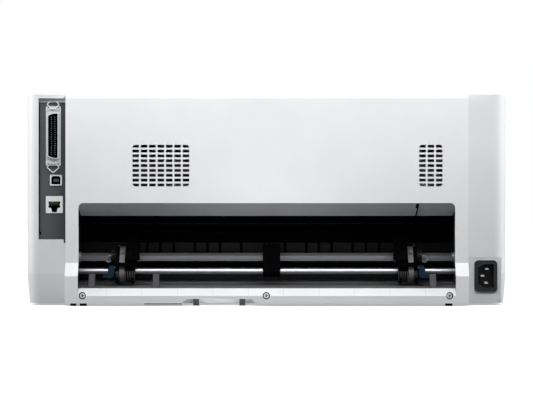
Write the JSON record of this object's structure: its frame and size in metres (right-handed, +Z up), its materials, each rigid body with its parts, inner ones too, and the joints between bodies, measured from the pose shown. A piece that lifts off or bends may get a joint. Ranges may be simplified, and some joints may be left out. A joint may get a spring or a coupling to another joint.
{
  "type": "dot_matrix_printer",
  "caption": "White flatbed dot matrix printer with a hinged top cover, rear tractor feed, print carriage, gear train, connector plate and mains inlet.",
  "frame": {"origin": "Middle of the bounding box on the surface that the feet stand on.", "axes": "+X to the right as seen from the front, +Y to the rear, +Z up."},
  "size_m": [0.479, 0.37, 0.2105],
  "materials": {
    "case_white": "fine textured moulded plastic",
    "guide_grey": "moulded plastic",
    "panel_grey": "fine textured plastic",
    "button_grey": "moulded plastic",
    "black_plastic": "black moulded plastic",
    "smoke_window": "smoked clear plastic",
    "feet_rubber": "black rubber",
    "screw_steel": "nickel plated steel",
    "sheet_steel": "dark coated sheet steel",
    "zinc_steel": "zinc plated sheet steel",
    "shaft_steel": "ground bright steel",
    "motor_metal": "dark metal",
    "head_metal": "black anodised fins",
    "roller_rubber": "ground rubber sleeves on a steel shaft",
    "gear_plastic": "natural acetal",
    "pinion_brass": "brass",
    "sprocket_grey": "grey plastic",
    "pin_white": "white plastic belt",
    "lever_blue": "blue plastic",
    "board_green": "circuit board",
    "plate_grey": "dark grey painted sheet",
    "jack_grey": "pale plastic",
    "inlet_black": "black plastic"
  },
  "bodies": {
    "body": {"lower_case": "case_white", "upper_case": "case_white", "rear_cover": "case_white", "cover_screws": "screw_steel", "rubber_feet": "feet_rubber", "front_table": "case_white", "control_panel": "panel_grey", "left_side_frame": "sheet_steel", "right_side_frame": "sheet_steel", "rear_frame_plate": "sheet_steel", "front_paper_bed": "black_plastic", "rear_paper_guide": "black_plastic", "platen_bar": "feet_rubber", "carriage_shaft": "shaft_steel", "carriage_rail": "sheet_steel", "carriage_motor": "motor_metal", "timing_belt": "feet_rubber", "ribbon_cartridge": "black_plastic", "feed_motor": "motor_metal", "tractor_rod": "shaft_steel", "main_board": "board_green", "power_supply": "zinc_steel", "io_plate": "plate_grey", "parallel_connector": "screw_steel", "usb_connector": "screw_steel", "lan_jack": "jack_grey", "ac_inlet": "inlet_black"},
    "cover": {"printer_cover": "case_white", "cover_window": "smoke_window"},
    "left_edge_guide": {"left_edge_guide": "guide_grey"},
    "right_edge_guide": {"right_edge_guide": "guide_grey"},
    "pause_button": {"pause_button": "button_grey"},
    "feed_button": {"feed_button": "button_grey"},
    "eject_button": {"eject_button": "button_grey"},
    "mode_button": {"mode_button": "button_grey"},
    "power_switch": {"power_switch": "black_plastic"},
    "carriage": {"carriage": "black_plastic", "print_head": "head_metal"},
    "motor_pulley": {"motor_pulley": "black_plastic"},
    "idler_pulley": {"idler_pulley": "black_plastic"},
    "ribbon_knob": {"ribbon_knob": "black_plastic"},
    "feed_pinion": {"feed_pinion": "pinion_brass"},
    "front_feed_roller": {"front_feed_roller": "roller_rubber"},
    "rear_feed_roller": {"rear_feed_roller": "roller_rubber"},
    "link_gear": {"link_gear": "gear_plastic"},
    "idler_gear": {"idler_gear": "gear_plastic"},
    "tractor_shaft": {"tractor_shaft": "shaft_steel"},
    "left_tractor": {"left_tractor": "black_plastic", "left_pin_belt": "pin_white"},
    "right_tractor": {"right_tractor": "black_plastic", "right_pin_belt": "pin_white"},
    "left_sprocket": {"left_sprocket": "sprocket_grey"},
    "right_sprocket": {"right_sprocket": "sprocket_grey"},
    "left_flap": {"left_flap": "black_plastic"},
    "right_flap": {"right_flap": "black_plastic"},
    "left_lock_lever": {"left_lock_lever": "lever_blue"},
    "right_lock_lever": {"right_lock_lever": "lever_blue"},
    "paper_support": {"paper_support": "black_plastic"},
    "upper_bail": {"upper_bail": "screw_steel"},
    "lower_bail": {"lower_bail": "screw_steel"}
  },
  "joints": [
    {"name": "cover_hinge", "type": "hinge", "parent": "body", "child": "cover", "pos_m": [-0.0004, 0.11, 0.205], "axis": [-1, 0, 0], "range_deg": [0, 95]},
    {"name": "left_guide_slide", "type": "slide", "parent": "body", "child": "left_edge_guide", "axis": [1, 0, 0], "range_m": [-0.014, 0.08]},
    {"name": "right_guide_slide", "type": "slide", "parent": "body", "child": "right_edge_guide", "axis": [1, 0, 0], "range_m": [-0.08, 0.014]},
    {"name": "pause_press", "type": "slide", "parent": "body", "child": "pause_button", "axis": [0, 0.5782, -0.8159], "range_m": [0, 0.001], "stiffness_N_per_m": 400, "springref_m": -0.001},
    {"name": "feed_press", "type": "slide", "parent": "body", "child": "feed_button", "axis": [0, 0.5782, -0.8159], "range_m": [0, 0.001], "stiffness_N_per_m": 400, "springref_m": -0.001},
    {"name": "eject_press", "type": "slide", "parent": "body", "child": "eject_button", "axis": [0, 0.5782, -0.8159], "range_m": [0, 0.001], "stiffness_N_per_m": 400, "springref_m": -0.001},
    {"name": "mode_press", "type": "slide", "parent": "body", "child": "mode_button", "axis": [0, 0.5782, -0.8159], "range_m": [0, 0.001], "stiffness_N_per_m": 400, "springref_m": -0.001},
    {"name": "power_rocker", "type": "hinge", "parent": "body", "child": "power_switch", "pos_m": [0.214, -0.134, 0.062], "axis": [1, 0, 0], "range_deg": [0, 12]},
    {"name": "carriage_slide", "type": "slide", "parent": "body", "child": "carriage", "axis": [1, 0, 0], "range_m": [-0.12, 0.12]},
    {"name": "motor_pulley_spin", "type": "hinge", "parent": "body", "child": "motor_pulley", "pos_m": [-0.162, 0.053, 0.12], "axis": [0, 1, 0], "range_deg": [-900, 900]},
    {"name": "idler_pulley_spin", "type": "hinge", "parent": "body", "child": "idler_pulley", "pos_m": [0.162, 0.053, 0.12], "axis": [0, 1, 0], "range_deg": [-900, 900]},
    {"name": "ribbon_knob_spin", "type": "hinge", "parent": "body", "child": "ribbon_knob", "pos_m": [0.12, -0.066, 0.134], "axis": [0, 0, 1], "continuous": true},
    {"name": "rear_roller_spin", "type": "hinge", "parent": "body", "child": "rear_feed_roller", "pos_m": [0, 0.03516, 0.071], "axis": [1, 0, 0], "continuous": true},
    {"name": "front_roller_spin", "type": "hinge", "parent": "body", "child": "front_feed_roller", "pos_m": [0, -0.04284, 0.071], "axis": [1, 0, 0], "continuous": true},
    {"name": "link_gear_spin", "type": "hinge", "parent": "body", "child": "link_gear", "pos_m": [-0.1975, -0.00384, 0.071], "axis": [1, 0, 0], "continuous": true},
    {"name": "idler_gear_spin", "type": "hinge", "parent": "body", "child": "idler_gear", "pos_m": [-0.1975, 0.08134, 0.05789], "axis": [1, 0, 0], "continuous": true},
    {"name": "feed_pinion_spin", "type": "hinge", "parent": "body", "child": "feed_pinion", "pos_m": [-0.1975, 0.01266, 0.09958], "axis": [1, 0, 0], "continuous": true},
    {"name": "tractor_shaft_spin", "type": "hinge", "parent": "body", "child": "tractor_shaft", "pos_m": [0, 0.125, 0.047], "axis": [1, 0, 0], "continuous": true},
    {"name": "left_tractor_slide", "type": "slide", "parent": "body", "child": "left_tractor", "axis": [1, 0, 0], "range_m": [-0.008, 0.08]},
    {"name": "right_tractor_slide", "type": "slide", "parent": "body", "child": "right_tractor", "axis": [1, 0, 0], "range_m": [-0.08, 0.008]},
    {"name": "left_sprocket_spin", "type": "hinge", "parent": "left_tractor", "child": "left_sprocket", "pos_m": [-0.145, 0.125, 0.047], "axis": [1, 0, 0], "continuous": true},
    {"name": "right_sprocket_spin", "type": "hinge", "parent": "right_tractor", "child": "right_sprocket", "pos_m": [0.145, 0.125, 0.047], "axis": [1, 0, 0], "continuous": true},
    {"name": "right_flap_hinge", "type": "hinge", "parent": "right_tractor", "child": "right_flap", "pos_m": [0.1303, 0.13645, 0.05455], "axis": [0, -0.584, 0.8118], "range_deg": [0, 100]},
    {"name": "left_flap_hinge", "type": "hinge", "parent": "left_tractor", "child": "left_flap", "pos_m": [-0.1303, 0.13645, 0.05455], "axis": [0, 0.584, -0.8118], "range_deg": [0, 100]},
    {"name": "right_lever_hinge", "type": "hinge", "parent": "right_tractor", "child": "right_lock_lever", "pos_m": [0.1563, 0.135, 0.0331], "axis": [1, 0, 0], "range_deg": [0, 50]},
    {"name": "left_lever_hinge", "type": "hinge", "parent": "left_tractor", "child": "left_lock_lever", "pos_m": [-0.1563, 0.135, 0.0331], "axis": [1, 0, 0], "range_deg": [0, 50]},
    {"name": "support_slide", "type": "slide", "parent": "body", "child": "paper_support", "axis": [1, 0, 0], "range_m": [-0.06, 0.06]},
    {"name": "upper_bail_hinge", "type": "hinge", "parent": "body", "child": "upper_bail", "pos_m": [0.2132, 0.1614, 0.1961], "axis": [-1, 0, 0], "range_deg": [0, 60]},
    {"name": "lower_bail_hinge", "type": "hinge", "parent": "body", "child": "lower_bail", "pos_m": [0.2132, 0.1614, 0.1421], "axis": [1, 0, 0], "range_deg": [0, 60]}
  ],
  "couplings": [
    {"joint": "link_gear_spin", "follows": "rear_roller_spin", "ratio": -0.625},
    {"joint": "front_roller_spin", "follows": "rear_roller_spin", "ratio": 1},
    {"joint": "feed_pinion_spin", "follows": "rear_roller_spin", "ratio": 1.6667},
    {"joint": "idler_gear_spin", "follows": "rear_roller_spin", "ratio": -0.45454},
    {"joint": "tractor_shaft_spin", "follows": "rear_roller_spin", "ratio": 1.25},
    {"joint": "left_sprocket_spin", "follows": "rear_roller_spin", "ratio": 1.25},
    {"joint": "right_sprocket_spin", "follows": "rear_roller_spin", "ratio": 1.25},
    {"joint": "motor_pulley_spin", "follows": "carriage_slide", "rad_per_m": -113.64},
    {"joint": "idler_pulley_spin", "follows": "carriage_slide", "rad_per_m": -113.64}
  ]
}
